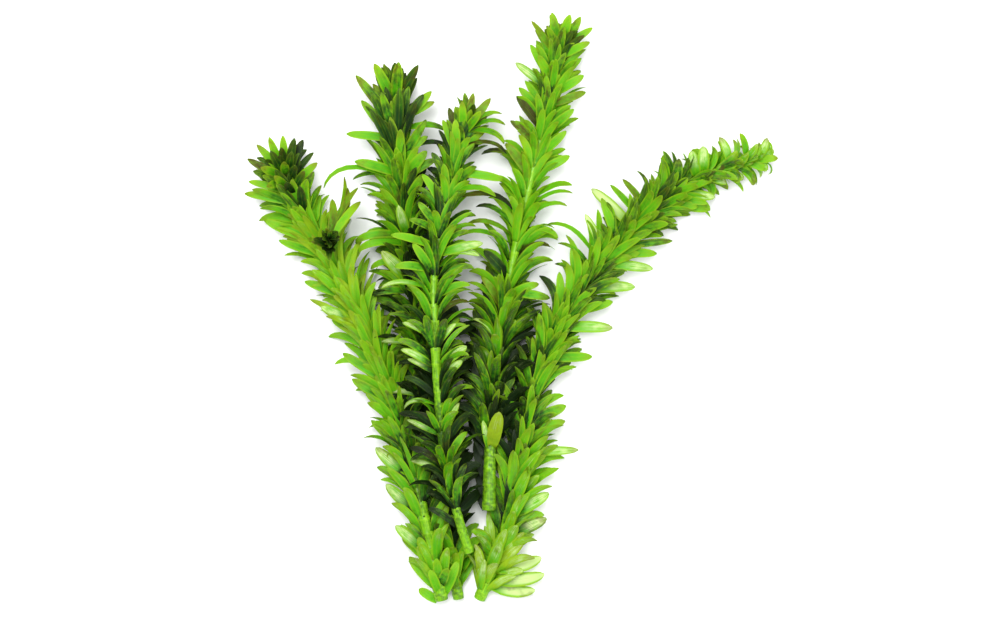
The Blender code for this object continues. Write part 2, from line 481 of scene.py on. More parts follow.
leaf_tree = new_tree(
    "elodea leaves",
    "GeometryNodeTree",
    (
        ("Geometry", "NodeSocketGeometry", None),
        ("Seed", "NodeSocketInt", 1),
        ("Thickness", "NodeSocketFloat", 0.22 * MM),
        ("Gutter", "NodeSocketFloat", 0.14),
        ("Ripple", "NodeSocketFloat", 0.06),
        ("Angle Scatter", "NodeSocketFloat", 11.0),
        ("Bend Scatter", "NodeSocketFloat", 24.0),
        ("Flattening", "NodeSocketFloat", 0.3),
        ("Surface Height", "NodeSocketFloat", 0.3 * MM),
        ("Other Stems", "NodeSocketObject", None),
        ("Clearance", "NodeSocketFloat", 2.3 * MM),
        ("Open Below", "NodeSocketFloat", -84 * MM),
        ("Material", "NodeSocketMaterial", None),
    ),
)


def leaf_outline(tree, along):
    """Half the leaf's width along its length, from 0 to 1: a strap that rounds to a point."""
    node = tree.nodes.new("ShaderNodeFloatCurve")
    points = node.mapping.curves[0].points
    points[0].location, points[1].location = OUTLINE[0], OUTLINE[-1]
    for place in OUTLINE[1:-1]:
        points.new(*place)
    node.mapping.update()
    feed(tree, along, node.inputs["Value"])
    return Field(tree, node.outputs[0])


def grow_leaves(tree):
    given = {s.name: Field(tree, s) for s in tree.nodes.new("NodeGroupInput").outputs}
    salt = iter(range(1, 100))
    degree = math.pi / 180

    def chance(low, high):
        """A random number for each leaf."""
        seed = given["Seed"] * 100.0 + float(next(salt))
        node = add_node(tree, "FunctionNodeRandomValue", {"data_type": "FLOAT"}, Seed=seed)
        feed(tree, low, enabled(node.inputs, "Min"))
        feed(tree, high, enabled(node.inputs, "Max"))
        return Field(tree, enabled(node.outputs, "Value"))

    def stray(label):
        return chance(*STRAY[label]) * wild

    # one point for each leaf of each whorl
    copies = add_node(
        tree,
        "GeometryNodeDuplicateElements",
        {"domain": "POINT"},
        Geometry=given["Geometry"],
        Amount=attribute(tree, "leaves", "INT"),
    )
    leaf_points = copies.outputs["Geometry"]
    number = Field(tree, copies.outputs["Duplicate Index"])
    wild = attribute(tree, "wild")
    ahead = attribute(tree, "ahead", "FLOAT_VECTOR")
    aside = attribute(tree, "aside", "FLOAT_VECTOR")
    place = position(tree)
    turn = attribute(tree, "turn") + number * math.tau / attribute(tree, "leaves", "INT")
    turn = turn + stray("turn")
    out = aside * turn.cos() + aside.math("CROSS_PRODUCT", ahead) * turn.sin()
    root = place + out * attribute(tree, "stem") + ahead * (stray("root") * MM)
    start = (attribute(tree, "spread") + stray("spread") * given["Angle Scatter"]) * degree
    bend = (attribute(tree, "bend") + stray("bend") * given["Bend Scatter"]) * degree
    raised = parts_of(tree, out)[2].math("MAXIMUM", 0.0) * given["Flattening"] * wild
    start = start * (1.0 - raised)
    bend = bend * (1.0 - raised)
    length = attribute(tree, "length") * (1.0 + stray("length"))
    width = attribute(tree, "width") * (1.0 + stray("width"))

    # a leaf beside the stem turns its face up or down, as far as its facing says
    middle = start + bend * 0.4
    slope = parts_of(tree, out.math("CROSS_PRODUCT", ahead))[2]
    outer_up = parts_of(tree, out * middle.cos() - ahead * middle.sin())[2]
    roll = (slope * outer_up.math("SIGN")).math("ARCTAN2", outer_up.size() + 0.02)
    roll = roll * attribute(tree, "facing") + stray("roll")
    for label, value in (
        ("out", out),
        ("root", root),
        ("start", start),
        ("bend_by", bend),
        ("long", length),
        ("wide", width),
        ("roll", roll),
        ("twist", stray("twist")),
        ("sway", stray("sway")),
        ("phase", chance(0.0, 6.3)),
        ("tint", chance(0.0, 1.0)),
        ("lowest", given["Surface Height"] * chance(0.6, 3.0)),
    ):
        leaf_points = store(tree, leaf_points, label, value)
    x, _, z = parts_of(tree, attribute(tree, "out", "FLOAT_VECTOR"))
    lost = z + x * attribute(tree, "cleared") - attribute(tree, "cover")
    leaf_points = add_node(
        tree,
        "GeometryNodeDeleteGeometry",
        {"domain": "POINT"},
        Geometry=leaf_points,
        Selection=lost.math("GREATER_THAN", 0.0),
    ).outputs["Geometry"]

    # the flat blank of a leaf, a flattened tube with a sharp edge down each side
    blank = add_node(
        tree,
        "GeometryNodeMeshCylinder",
        {"fill_type": "NGON"},
        Vertices=LEAF_SIDES,
        Side_Segments=LEAF_SEGMENTS,
        Radius=1.0,
        Depth=1.0,
    ).outputs["Mesh"]
    x, y, z = parts_of(tree, place)
    blank = store(tree, blank, "sharp_edge", x.size().math("GREATER_THAN", 0.99), "BOOLEAN", "EDGE")
    blank = store(tree, blank, "across", x)
    blank = store(tree, blank, "face", y)
    blank = store(tree, blank, "along", 1.0 - (0.5 - z) ** 1.2)
    leaves = add_node(
        tree, "GeometryNodeInstanceOnPoints", Points=leaf_points, Instance=blank
    ).outputs["Instances"]
    leaves = add_node(tree, "GeometryNodeRealizeInstances", Geometry=leaves).outputs["Geometry"]

    # each leaf arches away from the stem
    along, across, face = (attribute(tree, label) for label in ("along", "across", "face"))
    start, bend, length = (attribute(tree, label) for label in ("start", "bend_by", "long"))
    width, phase = (attribute(tree, label) for label in ("wide", "phase"))
    out, root = (attribute(tree, label, "FLOAT_VECTOR") for label in ("out", "root"))
    angle = start + bend * along * along
    forward = outward = 0.0
    for share, weight in BEND_SUM:
        turned = start + bend * (along * share) ** 2.0
        forward = turned.cos() * length * along * weight + forward
        outward = turned.sin() * length * along * weight + outward
    sideways = attribute(tree, "sway") * length * along * along
    half = leaf_outline(tree, along) * width * 0.5
    edge = across * half
    ripple = (along * RIPPLES + phase + across).sin() * given["Ripple"] * across * across
    lift = face * given["Thickness"] * 0.5 * (1.0 - along * 0.5)
    lift = lift + (across.size() * given["Gutter"] + ripple) * half * -1.0
    roll = attribute(tree, "roll") * along.ramp(0.0, 0.4) + attribute(tree, "twist") * along
    over = edge * roll.cos() + lift * roll.sin()
    proud = lift * roll.cos() - edge * roll.sin()
    left = out.math("CROSS_PRODUCT", ahead)
    outer = out * angle.cos() - ahead * angle.sin()
    point = root + ahead * forward + out * outward + left * (over + sideways) + outer * proud

    # no leaf runs through another cutting's stem
    stems = add_node(
        tree, "GeometryNodeObjectInfo", {"transform_space": "ORIGINAL"}, Object=given["Other Stems"]
    )
    near = add_node(
        tree,
        "GeometryNodeProximity",
        {"target_element": "EDGES"},
        Geometry=stems.outputs["Geometry"],
        Sample_Position=point,
    )
    gap = Field(tree, near.outputs["Distance"])
    # painted shade: each point of a leaf is marked darker the nearer it comes to another cutting's
    # stem, fading out towards the cut ends
    painted_shade_share = parts_of(tree, root)[1] - given["Open Below"]
    painted_shade_share = gap.ramp(PAINTED_SHADE_NEAR, PAINTED_SHADE_FAR, 1.0, 0.0) * painted_shade_share.ramp(-PAINTED_SHADE_FADE, 0.0)
    leaves = store(tree, leaves, "crowd", painted_shade_share)
    away = point - Field(tree, near.outputs["Position"])
    push = (given["Clearance"] - gap).math("MAXIMUM", 0.0)
    point = point + away.math("NORMALIZE") * push

    # the lowest leaves are pressed flat by the surface that the bunch lies on
    x, y, z = parts_of(tree, point)
    lowest = attribute(tree, "lowest") + face * given["Thickness"] * 0.5
    point = joined_vector(tree, x, y, z.math("SMOOTH_MAX", lowest, PRESS_SOFTNESS))
    leaves = add_node(tree, "GeometryNodeSetPosition", Geometry=leaves, Position=point)
    finish_tree(tree, leaves.outputs["Geometry"], given["Material"])


grow_leaves(leaf_tree)

LEAF_BRIGHT = (0.090, 0.41, 0.005, 1.0)
LEAF_DARK = (0.010, 0.078, 0.005, 1.0)
LEAF_FRESH = (0.14, 0.49, 0.008, 1.0)
LEAF_LIME = (0.33, 0.52, 0.012, 1.0)
# a whitish colour painted on as highlight and as light shining through
LEAF_HIGHLIGHT_PALE = (0.66, 0.80, 0.34, 1.0)
LEAF_BROWN = (0.15, 0.10, 0.01, 1.0)
LEAF_GLOW = (0.36, 0.64, 0.012, 1.0)
# a very dark painted shade
LEAF_PAINTED_SHADE = (0.006, 0.016, 0.004, 1.0)
LEAF_GLOSS = 0.18
LIGHT_THROUGH = 0.4


def leaf_colours():
    """A shader group: the colour, roughness and relief of a leaf, from where on the leaf it is."""
    tree = new_tree(
        "leaf surface",
        "ShaderNodeTree",
        (
            ("Bright", "NodeSocketColor", LEAF_BRIGHT),
            ("Dark", "NodeSocketColor", LEAF_DARK),
            ("Fresh", "NodeSocketColor", LEAF_FRESH),
            ("Lime", "NodeSocketColor", LEAF_LIME),
            ("Pale", "NodeSocketColor", LEAF_HIGHLIGHT_PALE),
            ("Brown", "NodeSocketColor", LEAF_BROWN),
            ("Glow", "NodeSocketColor", LEAF_GLOW),
            ("Gloom", "NodeSocketColor", LEAF_PAINTED_SHADE),
            ("Tip Yellowing", "NodeSocketFloat", 0.6),
            ("Browning", "NodeSocketFloat", 0.36),
        ),
    )
    given = {s.name: s for s in tree.nodes.new("NodeGroupInput").outputs}
    along, across, tint = (shader_value(tree, label) for label in ("along", "across", "tint"))
    tone, pale, brown = (shader_value(tree, label) for label in ("tone", "pale", "brown"))
    crowd = shader_value(tree, "crowd")
    object_place = tree.nodes.new("ShaderNodeTexCoord").outputs["Object"]
    patches = noise(tree, object_place, 70.0, 2.0)
    sheet = joined_vector(tree, across * 0.5, along * 3.0, tint * 40.0)
    mottle = noise(tree, sheet, 2.2, 3.0)
    strands = noise(tree, joined_vector(tree, across * 9.0, along * 1.6, tint * 40.0), 1.5, 3.0, 0.6)
    cells = noise(tree, joined_vector(tree, across * 22.0, along * 70.0, tint * 40.0), 1.0, 1.0)
    margin = across.size()
    # the tone takes in random tint, mottle and patches, painted shade near other stems, and strands
    tone = tone + (tint - 0.5) * 1.5 + (mottle - 0.5) * 1.8 + (patches - 0.5) * 2.0 + crowd * 0.5
    tone = tone + (strands - 0.5) * 1.6
    # darker towards the leaf's root: partly painted shade where the roots sit inside the bunch,
    # partly older tissue
    tone = tone + along.ramp(0.0, 0.5, 0.45, -0.1)
    dark = tone.ramp(0.0, 1.0)
    colour = blend(tree, dark, given["Bright"], given["Dark"])
    colour = blend(tree, tone.ramp(-0.9, 0.1, 1.0, 0.0), colour, given["Fresh"])
    colour = blend(tree, tone.ramp(-2.2, -0.9, 1.0, 0.0), colour, given["Lime"])
    colour = blend(tree, strands.ramp(0.5, 0.85, 0.0, 0.3), colour, given["Lime"])
    yellowing = along.ramp(0.5, 1.0) * mottle.ramp(0.3, 0.6, 0.5, 1.0)
    yellowing = yellowing * Field(tree, given["Tip Yellowing"]) * dark.ramp(0.4, 1.0, 1.0, 0.3)
    colour = blend(tree, yellowing, colour, given["Lime"])
    edging = margin.ramp(0.5, 0.95, 0.0, 0.65) * dark.ramp(0.3, 1.0, 1.0, 0.35)
    colour = blend(tree, edging, colour, given["Lime"])
    colour = blend(tree, margin.ramp(0.02, 0.16, 0.2, 0.0), colour, given["Lime"])
    # painted highlight: whitish streaks and patches on the outer part of the leaf, away from its
    # margins, stand in for the sheen of a wet leaf and for light shining through it
    painted_highlight = pale + (strands - 0.5) * 1.8 + (mottle - 0.5) * 0.9
    painted_highlight = painted_highlight.ramp(0.25, 0.9) * (along + pale * 0.3).ramp(0.45, 0.85)
    painted_highlight = painted_highlight * margin.ramp(0.45, 0.85, 1.0, 0.05)
    colour = blend(tree, painted_highlight, colour, given["Pale"])
    worn = noise(tree, sheet, 1.3, 4.0).ramp(0.52, 0.68) * tint.ramp(0.45, 0.8)
    worn = worn.math("MAXIMUM", along.ramp(0.7, 1.0) * (1.0 - tint).ramp(0.65, 0.8))
    worn = worn * Field(tree, given["Browning"])
    worn = worn.math("MAXIMUM", brown * mottle.ramp(0.3, 0.65, 0.4, 1.0))
    colour = blend(tree, worn, colour, given["Brown"])
    # painted shade: the darkest leaves, and those near other stems, are blended towards very dark
    # green, in the light that bounces off them and in the light that shines through them
    painted_darkness = (crowd + tone * 0.7).ramp(0.4, 1.6, 0.0, 0.92) * painted_highlight.ramp(0.0, 1.0, 1.0, 0.25)
    through = blend(tree, dark.ramp(0.0, 1.0, 0.5, 0.0), colour, given["Glow"])
    through = blend(tree, painted_darkness, through, given["Gloom"])
    colour = blend(tree, painted_darkness, colour, given["Gloom"])
    relief = strands * 0.6 + cells * 0.25 + margin.ramp(0.0, 0.14, 0.5, 0.0)
    roughness = mottle.ramp(0.3, 0.7, 0.34, 0.5)
    out = tree.nodes.new("NodeGroupOutput")
    for label, kind, value in (
        ("Colour", "NodeSocketColor", colour),
        ("Through", "NodeSocketColor", through),
        ("Roughness", "NodeSocketFloat", roughness),
        ("Relief", "NodeSocketFloat", relief),
    ):
        tree.interface.new_socket(name=label, in_out="OUTPUT", socket_type=kind)
        tree.links.new(value.socket, out.inputs[label])
    return tree


leaf_surface = leaf_colours()


def leaf_material(name, **values):
    """A thin leaf: part of the light bounces off it and part shines through it."""
    material, tree, shader, end = new_material(name)
    surface = tree.nodes.new("ShaderNodeGroup")
    surface.node_tree = leaf_surface
    for label, value in values.items():
        surface.inputs[label.replace("_", " ")].default_value = value
    feed(tree, surface.outputs["Colour"], shader.inputs["Base Color"])
    feed(tree, surface.outputs["Roughness"], shader.inputs["Roughness"])
    normal = bump(tree, surface.outputs["Relief"], SKIN_RELIEF, 0.6)
    feed(tree, normal, shader.inputs["Normal"])
    shader.inputs["Specular IOR Level"].default_value = LEAF_GLOSS
    through = tree.nodes.new("ShaderNodeBsdfTranslucent")
    feed(tree, surface.outputs["Through"], through.inputs["Color"])
    feed(tree, normal, through.inputs["Normal"])
    both = tree.nodes.new("ShaderNodeMixShader")
    both.inputs[0].default_value = LIGHT_THROUGH
    tree.links.new(shader.outputs[0], both.inputs[1])
    tree.links.new(through.outputs[0], both.inputs[2])
    tree.links.new(both.outputs[0], end.inputs["Surface"])
    return material


leaf_skin = leaf_material("leaf_skin")
young_leaf_skin = leaf_material("young_leaf_skin", Tip_Yellowing=0.95, Browning=0.55)

# How the leaves stand, at each point of the stem's route: how many a whorl has, their length and
# width in millimetres, the angle at which they leave the stem and how far they then arch, in degrees,
# how far they turn their faces up, how unruly they are, their tone from -1 for lime to 1 for dark,
# the dark partly painted shade deep in the bunch, and how much whitish painted highlight they carry.
# The leaves that point up by more than the next number are lost (above 1, none are), and the last
# number moves that to one side, -1 for the left.
HABITS = {
    "far_left": (
        (7, 13.0, 3.6, 28, 36, 0.7, 1.3, -1.0, 0.25, 1.1, 0),
        (7, 15.5, 3.4, 24, 42, 0.7, 1.3, -0.6, 0.25, 0.7, 0),
        (8, 17.0, 3.0, 22, 48, 0.7, 1.3, 0.0, 0.15, 1.1, 0),
        (9, 18.0, 2.8, 20, 48, 0.7, 1.4, -0.3, 0.05, 1.1, 0),
        (9, 18.5, 2.8, 17, 48, 0.7, 1.4, -1.2, 0.20, 1.1, 0),
        (9, 18.0, 2.8, 17, 48, 0.7, 1.4, -1.3, 0.10, 1.1, 0),
        (8, 15.0, 3.4, 26, 30, 0.6, 1.0, 1.2, 0.00, 1.1, 0),
        (8, 13.5, 3.4, 22, 20, 0.5, 0.8, 1.2, 0.00, 1.1, 0),
    ),
    "mid_left": (
        (6, 13.0, 3.6, 26, 36, 0.6, 1.2, -0.9, 0.10, 1.1, 0),
        (8, 15.0, 3.3, 26, 50, 0.6, 1.3, 0.5, 0.15, 1.1, 0),
        (9, 17.0, 3.3, 28, 52, 0.6, 1.4, 0.8, 0.20, 1.1, 0),
        (9, 19.0, 3.3, 32, 66, 0.6, 1.5, 0.5, 0.25, 1.1, 0),
        (9, 19.5, 3.0, 28, 80, 0.6, 1.4, 0.1, 0.15, 1.1, 0),
        (9, 18.0, 3.0, 20, 56, 0.6, 1.2, 0.2, 0.05, 1.1, 0),
        (9, 19.0, 3.3, 12, 10, 0.6, 0.7, 1.4, 0.00, 1.1, 0),
        (7, 9.0, 3.2, 14, 12, 0.6, 0.7, 0.7, 0.00, 1.1, 0),
    ),
    "centre": (
        (6, 13.0, 2.8, 28, 64, 0.5, 1.3, 0.3, 0.15, 1.1, 0),
        (7, 14.5, 2.9, 28, 66, 0.5, 1.4, 0.6, 0.20, 1.1, 0),
        (8, 15.0, 2.8, 30, 68, 0.5, 1.5, 0.8, 0.20, 0.95, 0),
        (8, 15.5, 2.8, 30, 74, 0.5, 1.5, 0.8, 0.25, 0.72, 0),
        (8, 16.0, 2.7, 27, 80, 0.5, 1.5, 0.4, 0.20, 0.88, 0),
        (8, 14.5, 2.8, 24, 62, 0.5, 1.3, 0.5, 0.10, 1.1, 0),
        (8, 13.5, 3.0, 18, 46, 0.5, 1.0, 0.75, 0.00, 1.1, 0),
        (8, 12.0, 3.0, 14, 24, 0.5, 0.8, 1.0, 0.00, 1.1, 0),
    ),
    "mid_right": (
        (6, 17.0, 3.2, 24, 46, 0.5, 1.3, 0.5, 0.15, 1.1, 0),
        (9, 19.0, 3.2, 30, 56, 0.5, 1.5, 0.8, 0.20, 1.1, 0),
        (9, 19.0, 3.1, 30, 66, 0.5, 1.5, 0.8, 0.25, 1.1, 0),
        (7, 16.5, 2.8, 24, 70, 0.5, 1.4, -0.1, 0.10, 0.95, 0),
        (7, 15.5, 2.8, 20, 64, 0.5, 1.3, -0.7, 0.05, 0.95, 0),
        (9, 16.5, 3.0, 15, 38, 0.6, 1.0, 0.25, 0.00, 1.1, 0),
        (8, 13.5, 3.4, 14, 24, 0.6, 0.9, 1.2, 0.10, 1.1, 0),
    ),
    "far_right": (
        (7, 14.0, 4.0, 30, 40, 0.7, 1.3, -1.8, 0.60, 1.1, 0),
        (7, 18.0, 3.6, 26, 44, 0.7, 1.3, -1.0, 0.30, 1.3, -1),
        (8, 18.5, 3.2, 20, 44, 0.7, 1.3, -0.3, 0.10, 1.3, -1),
        (9, 18.5, 2.9, 18, 46, 0.7, 1.4, 0.3, 0.05, 1.1, 0),
        (9, 18.5, 2.9, 17, 46, 0.7, 1.4, 0.2, 0.05, 1.1, 0),
        (9, 17.0, 2.9, 17, 44, 0.7, 1.4, 0.5, 0.00, 1.1, 0),
        (7, 10.5, 2.8, 34, 90, 0.6, 2.0, 0.2, 0.20, 1.1, 0),
        (6, 6.5, 2.4, 36, 120, 0.6, 2.1, -0.3, 0.45, 1.1, 0),
    ),
}

# The leaves that make the outline, those that stand out in it and the dark ones behind them, the
# darkest of which are painted shade in the core of the bunch: X, Y and Z of the tip, the length and
# width in millimetres, how far the leaf arches and how far it stands on edge, in degrees, and its
# shade. A leaf of negative length grows from further up the stem.
PLACED = {
    "far_left": (
        (-83.3, 61.7, 14, 15, 3.1, 10, 0, "green"), (-75.4, 60.7, 13, 15, 3.3, 14, 10, "dark"),
        (-72.2, 56, 11, 15, 2.8, 20, 35, "dark"), (-91.3, 58.1, 13, 15.5, 3.1, 16, 10, "green"),
        (-95.2, 52.4, 12, 16, 3.1, 24, 10, "olive"), (-94.9, 45.2, 11, 16, 2.9, 30, 20, "lime"),
        (-96.3, 41.2, 9, 18.5, 3.3, 30, 10, "green"), (-87.3, 55.6, 19, 13, 3.1, 12, 0, "dark"),
        (-79.4, 55.3, 19, 13, 3.1, 12, 0, "dark"), (-88, 60.7, 14, 14.5, 3.3, 10, 0, "lime"),
        (-79, 60.3, 15, 14.5, 3.3, 10, 0, "dark"), (-93.4, 48.4, 15, 14, 3.4, 20, 0, "dark"),
        (-70, 51.7, 12, 14, 3.2, 24, 20, "green"), (-90.2, 49.9, 18, 13, 3.3, 16, 0, "dark"),
        (-82.3, 52.7, 20, 12, 3.4, 8, 0, "dark"), (-77.9, 50.6, 19, 12, 3.4, 8, 0, "dark"),
        (-88, 43.4, 19, 12, 3.4, 12, 0, "dark"), (-80.8, 44.1, 20, 12, 3.4, 8, 0, "dark"),
        (-75.8, 42.7, 17, 12, 3.2, 14, 0, "dark"), (-74.7, 48.4, 17, 12, 2.9, 16, 0, "dark"),
        (-85.5, 46.3, 20, 13, 3.3, 10, 0, "dark"), (-71.5, 48.1, 12, 14, 3.1, 20, 20, "green"),
        (-68.6, 44.1, 11, 14, 2.9, 26, 68, "dark"), (-90.2, 30.8, 12, 21, 3.8, 18, 0, "green"),
        (-84.4, 23.9, 14, 19, 3.4, 14, 0, "green"), (-75.1, 9.5, 10, 17, 3.6, 18, 0, "green"),
        (-69.3, 0.2, 11, 16.5, 4.2, 16, 0, "pale"), (-65, -4.1, 9, 16, 3.4, 14, 10, "green"),
        (-61.4, -17.1, 10, 17.5, 3.4, 16, 0, "lime"), (-57.1, -25.7, 10, 17, 4, 16, 0, "green"),
        (-51.7, -41.2, 9, 17, 3.3, 10, 15, "green"), (-49.5, -52, 10, 17, 4.4, 16, 0, "pale"),
        (-45.2, -64.3, 10, 17, 4.4, 18, 0, "pale"), (-42.3, -78.7, 9, 16.5, 4.2, 20, 0, "pale"),
        (-37.3, -90.2, 8, 15, 3.8, 22, 0, "lime"), (-33.3, -102.1, 6, 15, 3.6, 40, 0, "lime"),
        (-26.8, -90.2, 17, 12, 3.6, 20, 0, "lime"), (-23.6, -93.4, 16, 11, 3.6, 24, 0, "green"),
        (-29.3, -94.5, 15, 11, 3.4, 24, 0, "lime"), (-20, -92, 11, 14, 3.6, 24, 0, "lime"),
    ),
    "mid_left": (
        (-56, 83, 11, 22, 3.6, 8, 10, "green"), (-48.4, 86.6, 17, 16, 4, 8, 0, "green"),
        (-41.2, 88, 19, 15, 4.2, 6, 0, "green"), (-34.4, 86.9, 16, 17, 3.4, 8, 10, "dark"),
        (-29.3, 77.6, 13, 18, 3.8, 14, 0, "lime"), (-28.6, 73.6, 10, 15, 3.1, 22, 15, "green"),
        (-54.5, 75.4, 11, 20, 3.6, 10, 10, "green"), (-59.2, 62.1, 11, 17.5, 3.1, 24, 10, "green"),
        (-57.1, 52.4, 13, 17.4, 3.6, 46, 15, "lime"), (-67.1, 41.9, 12, 19.5, 2.4, 112, 78, "lime"),
        (-58.1, 44.8, 11, 14.8, 2, 60, 88, "green"), (-57.1, 22.5, 12, -17, 3, 130, 20, "lime"),
        (-56.3, 20, 13, -16.5, 3.2, 120, 20, "lime"), (-53.8, 26.8, 10, 16, 2.6, 80, 78, "green"),
        (-52, 13.9, 12, -15, 2.8, 100, 30, "green"), (-50.6, 3.8, 11, 15, 3, 70, 30, "green"),
        (-30.1, 61.4, 11, 15, 3.1, 40, 30, "green"), (-24.3, 64.3, 10, 17, 2.6, 60, 78, "green"),
        (-27.2, 52.7, 11, 15, 3.2, 44, 20, "lime"), (-23.2, 56.3, 10, 17, 2.4, 80, 78, "green"),
        (-23.9, 44.8, 10, 17, 2.6, 84, 68, "green"), (-22.5, 34, 10, 17, 2.6, 84, 68, "dark"),
        (-40.1, 36.2, 19, 15, 4, 18, 0, "pale"), (-46.3, 20.3, 19, 19, 5.2, 34, 0, "pale"),
        (-46.6, -12.4, 14, 15, 2.6, 60, 30, "pale"), (-44.5, -30.4, 13, 15, 2.6, 60, 30, "pale"),
        (-51.3, 77.2, 14, 20, 3.4, 8, 5, "dark"), (-44.8, 78.7, 16, 19, 3.2, 6, 0, "dark"),
        (-37.6, 78.7, 15, 19, 3.2, 6, 0, "dark"), (-32.6, 77.2, 13, 18, 3.4, 8, 5, "dark"),
        (-47.3, 77.2, 18, 20, 3.2, 8, 0, "dark"), (-39.8, 77.9, 18, 20, 3.2, 8, 0, "dark"),
        (-34.7, 74.3, 16, 19, 3.2, 8, 0, "dark"), (-50.6, 71.5, 15, 20, 3.2, 8, 0, "dark"),
        (-30.8, 67.9, 13, 19, 3.2, 14, 0, "green"), (-29.7, 56.3, 14, 16, 3.8, 30, 10, "green"),
        (-31.1, 48.4, 15, 16, 3.8, 30, 10, "green"), (-28.3, 41.9, 14, 17, 3.6, 34, 10, "dark"),
        (-29.7, 34, 15, 17, 3.8, 34, 10, "green"), (-27.5, 26.8, 14, 17, 3.6, 40, 10, "dark"),
        (-28.6, 18.5, 14, 17, 3.8, 40, 10, "dark"), (-26.1, 11.3, 13, 17, 3.6, 40, 10, "dark"),
        (-25.4, 2.3, 12, 17, 3.6, 40, 10, "dark"),
    ),
    "centre": (
        (-22.9, 71.8, 13, 14.5, 2.8, 14, 10, "olive"), (-13.5, 76.1, 14, 13.5, 3.1, 8, 0, "olive"),
        (-7.7, 75.1, 12, 14, 3.1, 14, 15, "olive"), (-25.4, 67.5, 13, 14.5, 2.9, 22, 10, "lime"),
        (-18.2, 72.9, 17, 12, 3.1, 10, 0, "green"), (-11, 70.7, 18, 12, 3.1, 10, 0, "lime"),
        (-20.7, 66.4, 18, 13, 3, 14, 0, "lime"), (-3.4, 69.7, 12, 14, 2, 70, 78, "green"),
        (-2.7, 64.6, 13, 15, 2.4, 84, 78, "green"), (-2.3, 59.2, 14, 15, 2.6, 80, 73, "lime"),
        (-1.6, 53.8, 15, 15.5, 2, 84, 78, "olive"), (-3.1, 44.8, 17, 15, 3.4, 50, 20, "lime"),
        (-1.6, 33.3, 17, 19, 2.4, 90, 73, "olive"), (-6.3, 38.3, 20, 15.5, 2.6, 75, 78, "lime"),
        (-15.3, 26.8, 24, 14, 2.4, 60, 68, "dark"), (-29.3, 55.6, 17, 14, 3, 30, 20, "green"),
        (-31.9, 47, 19, 14, 3, 44, 20, "lime"), (-34, 36.9, 24, 13.5, 3, 50, 10, "green"),
        (-43.4, 25, 27, 15, 3, 50, 15, "lime"), (-37.6, 30.4, 27, 14, 2.8, 50, 20, "green"),
        (-35.8, 21.8, 27, 13.5, 3.2, 50, 15, "green"), (-10.6, 22.1, 24, 17, 3.4, 46, 25, "pale"),
        (-11.3, 17.5, 24, 15, 2.6, 46, 68, "pale"), (-14.6, 8.8, 25, 15, 2.8, 60, 68, "green"),
        (-46.3, 6.7, 24, 17, 2.4, 60, 60, "pale"), (-41.9, 13.9, 25, 14, 3, 64, 30, "green"),
        (-15.3, 2.3, 23, 14, 2.4, 80, 68, "olive"), (-39.8, -5.9, 25, 13.5, 2.5, 60, 30, "pale"),
        (-39.8, -15.7, 24, 14, 2.7, 60, 30, "pale"), (-37.6, -18.5, 22, 12, 2, 60, 30, "pale"),
        (-39.1, -36.2, 20, 13, 1.9, 100, 78, "pale"), (-40.5, -37.6, 20, 15, 2.6, 40, 20, "olive"),
        (-38, -41.2, 20, 13.5, 2.2, 34, 20, "pale"), (-38.7, -25.7, 22, 14, 2.6, 80, 35, "dark"),
        (-36.2, -50.2, 19, 14, 2.8, 70, 30, "olive"), (-35.8, -56, 18, 13, 2.6, 70, 30, "pale"),
        (-20, -5.6, 25, 11, 2.6, 40, 20, "pale"), (-16.4, -13.5, 24, 13.4, 4, 44, 10, "pale"),
        (-17.8, -20, 23, 11, 3.2, 40, 20, "pale"), (-18.2, -34.4, 21, 13, 2.6, 44, 30, "pale"),
        (-13.9, -28.3, 21, 14, 2.4, 84, 73, "green"), (-15.3, -44.5, 20, 14, 2.8, 70, 30, "green"),
        (-16.7, -56, 18, 13, 2.8, 60, 30, "dark"), (-16.7, 16, 10, 17, 3.8, 30, 0, "dark"),
        (-17.5, 8.1, 9, 17, 3.8, 30, 0, "black"), (-18.9, 0.2, 9, 17, 3.8, 30, 0, "black"),
        (-18.2, -6.3, 9, 17, 4, 30, 0, "black"), (-20.3, -13.9, 9, 17, 4, 30, 0, "black"),
        (-19.6, -22.1, 9, 17, 4, 30, 0, "black"), (-18.9, -30.8, 8, 17, 4, 30, 0, "black"),
        (-18.2, -40.1, 8, 17, 4, 30, 0, "black"), (-17.5, -48.8, 8, 16, 4, 30, 0, "black"),
        (-16, -58.9, 8, 15, 4, 30, 0, "black"), (-14.6, -52.4, 7, 16, 4, 30, 0, "black"),
        (-12.4, -59.6, 7, 15, 4, 30, 0, "black"), (-11.7, -66.8, 7, 14, 3.8, 30, 0, "dark"),
        (-13.9, -5.6, 8, 21, 4, 30, 0, "black"), (-14.6, -12.8, 8, 21, 4, 30, 0, "black"),
        (-13.9, -20, 8, 20, 4, 30, 0, "black"), (-29.7, -72.5, 15, 13, 2.8, 60, 30, "green"),
    ),
    "mid_right": (
        (6.7, 102.1, 12, 16, 2.6, 18, 30, "olive"), (14.2, 106, 13, 14.5, 3.4, 8, 0, "lime"),
        (20, 104.9, 15, 14, 3.6, 8, 0, "lime"), (25, 103.9, 12, 14.5, 3.4, 10, 0, "lime"),
        (29.7, 100.6, 11, 14.5, 3, 18, 15, "green"), (27.5, 95.6, 13, 13.5, 3.2, 20, 0, "lime"),
        (6.3, 93.8, 12, 15, 3.2, 24, 10, "lime"), (0.9, 87.3, 11, 16, 3.2, 30, 0, "pale"),
        (9.2, 89.5, 17, 13, 3.4, 10, 0, "lime"), (2.7, 79.4, 12, 14.5, 3, 34, 0, "lime"),
        (26.5, 83, 12, 14.5, 3.4, 40, 0, "lime"), (26.5, 77.2, 11, 14.5, 3.2, 44, 0, "olive"),
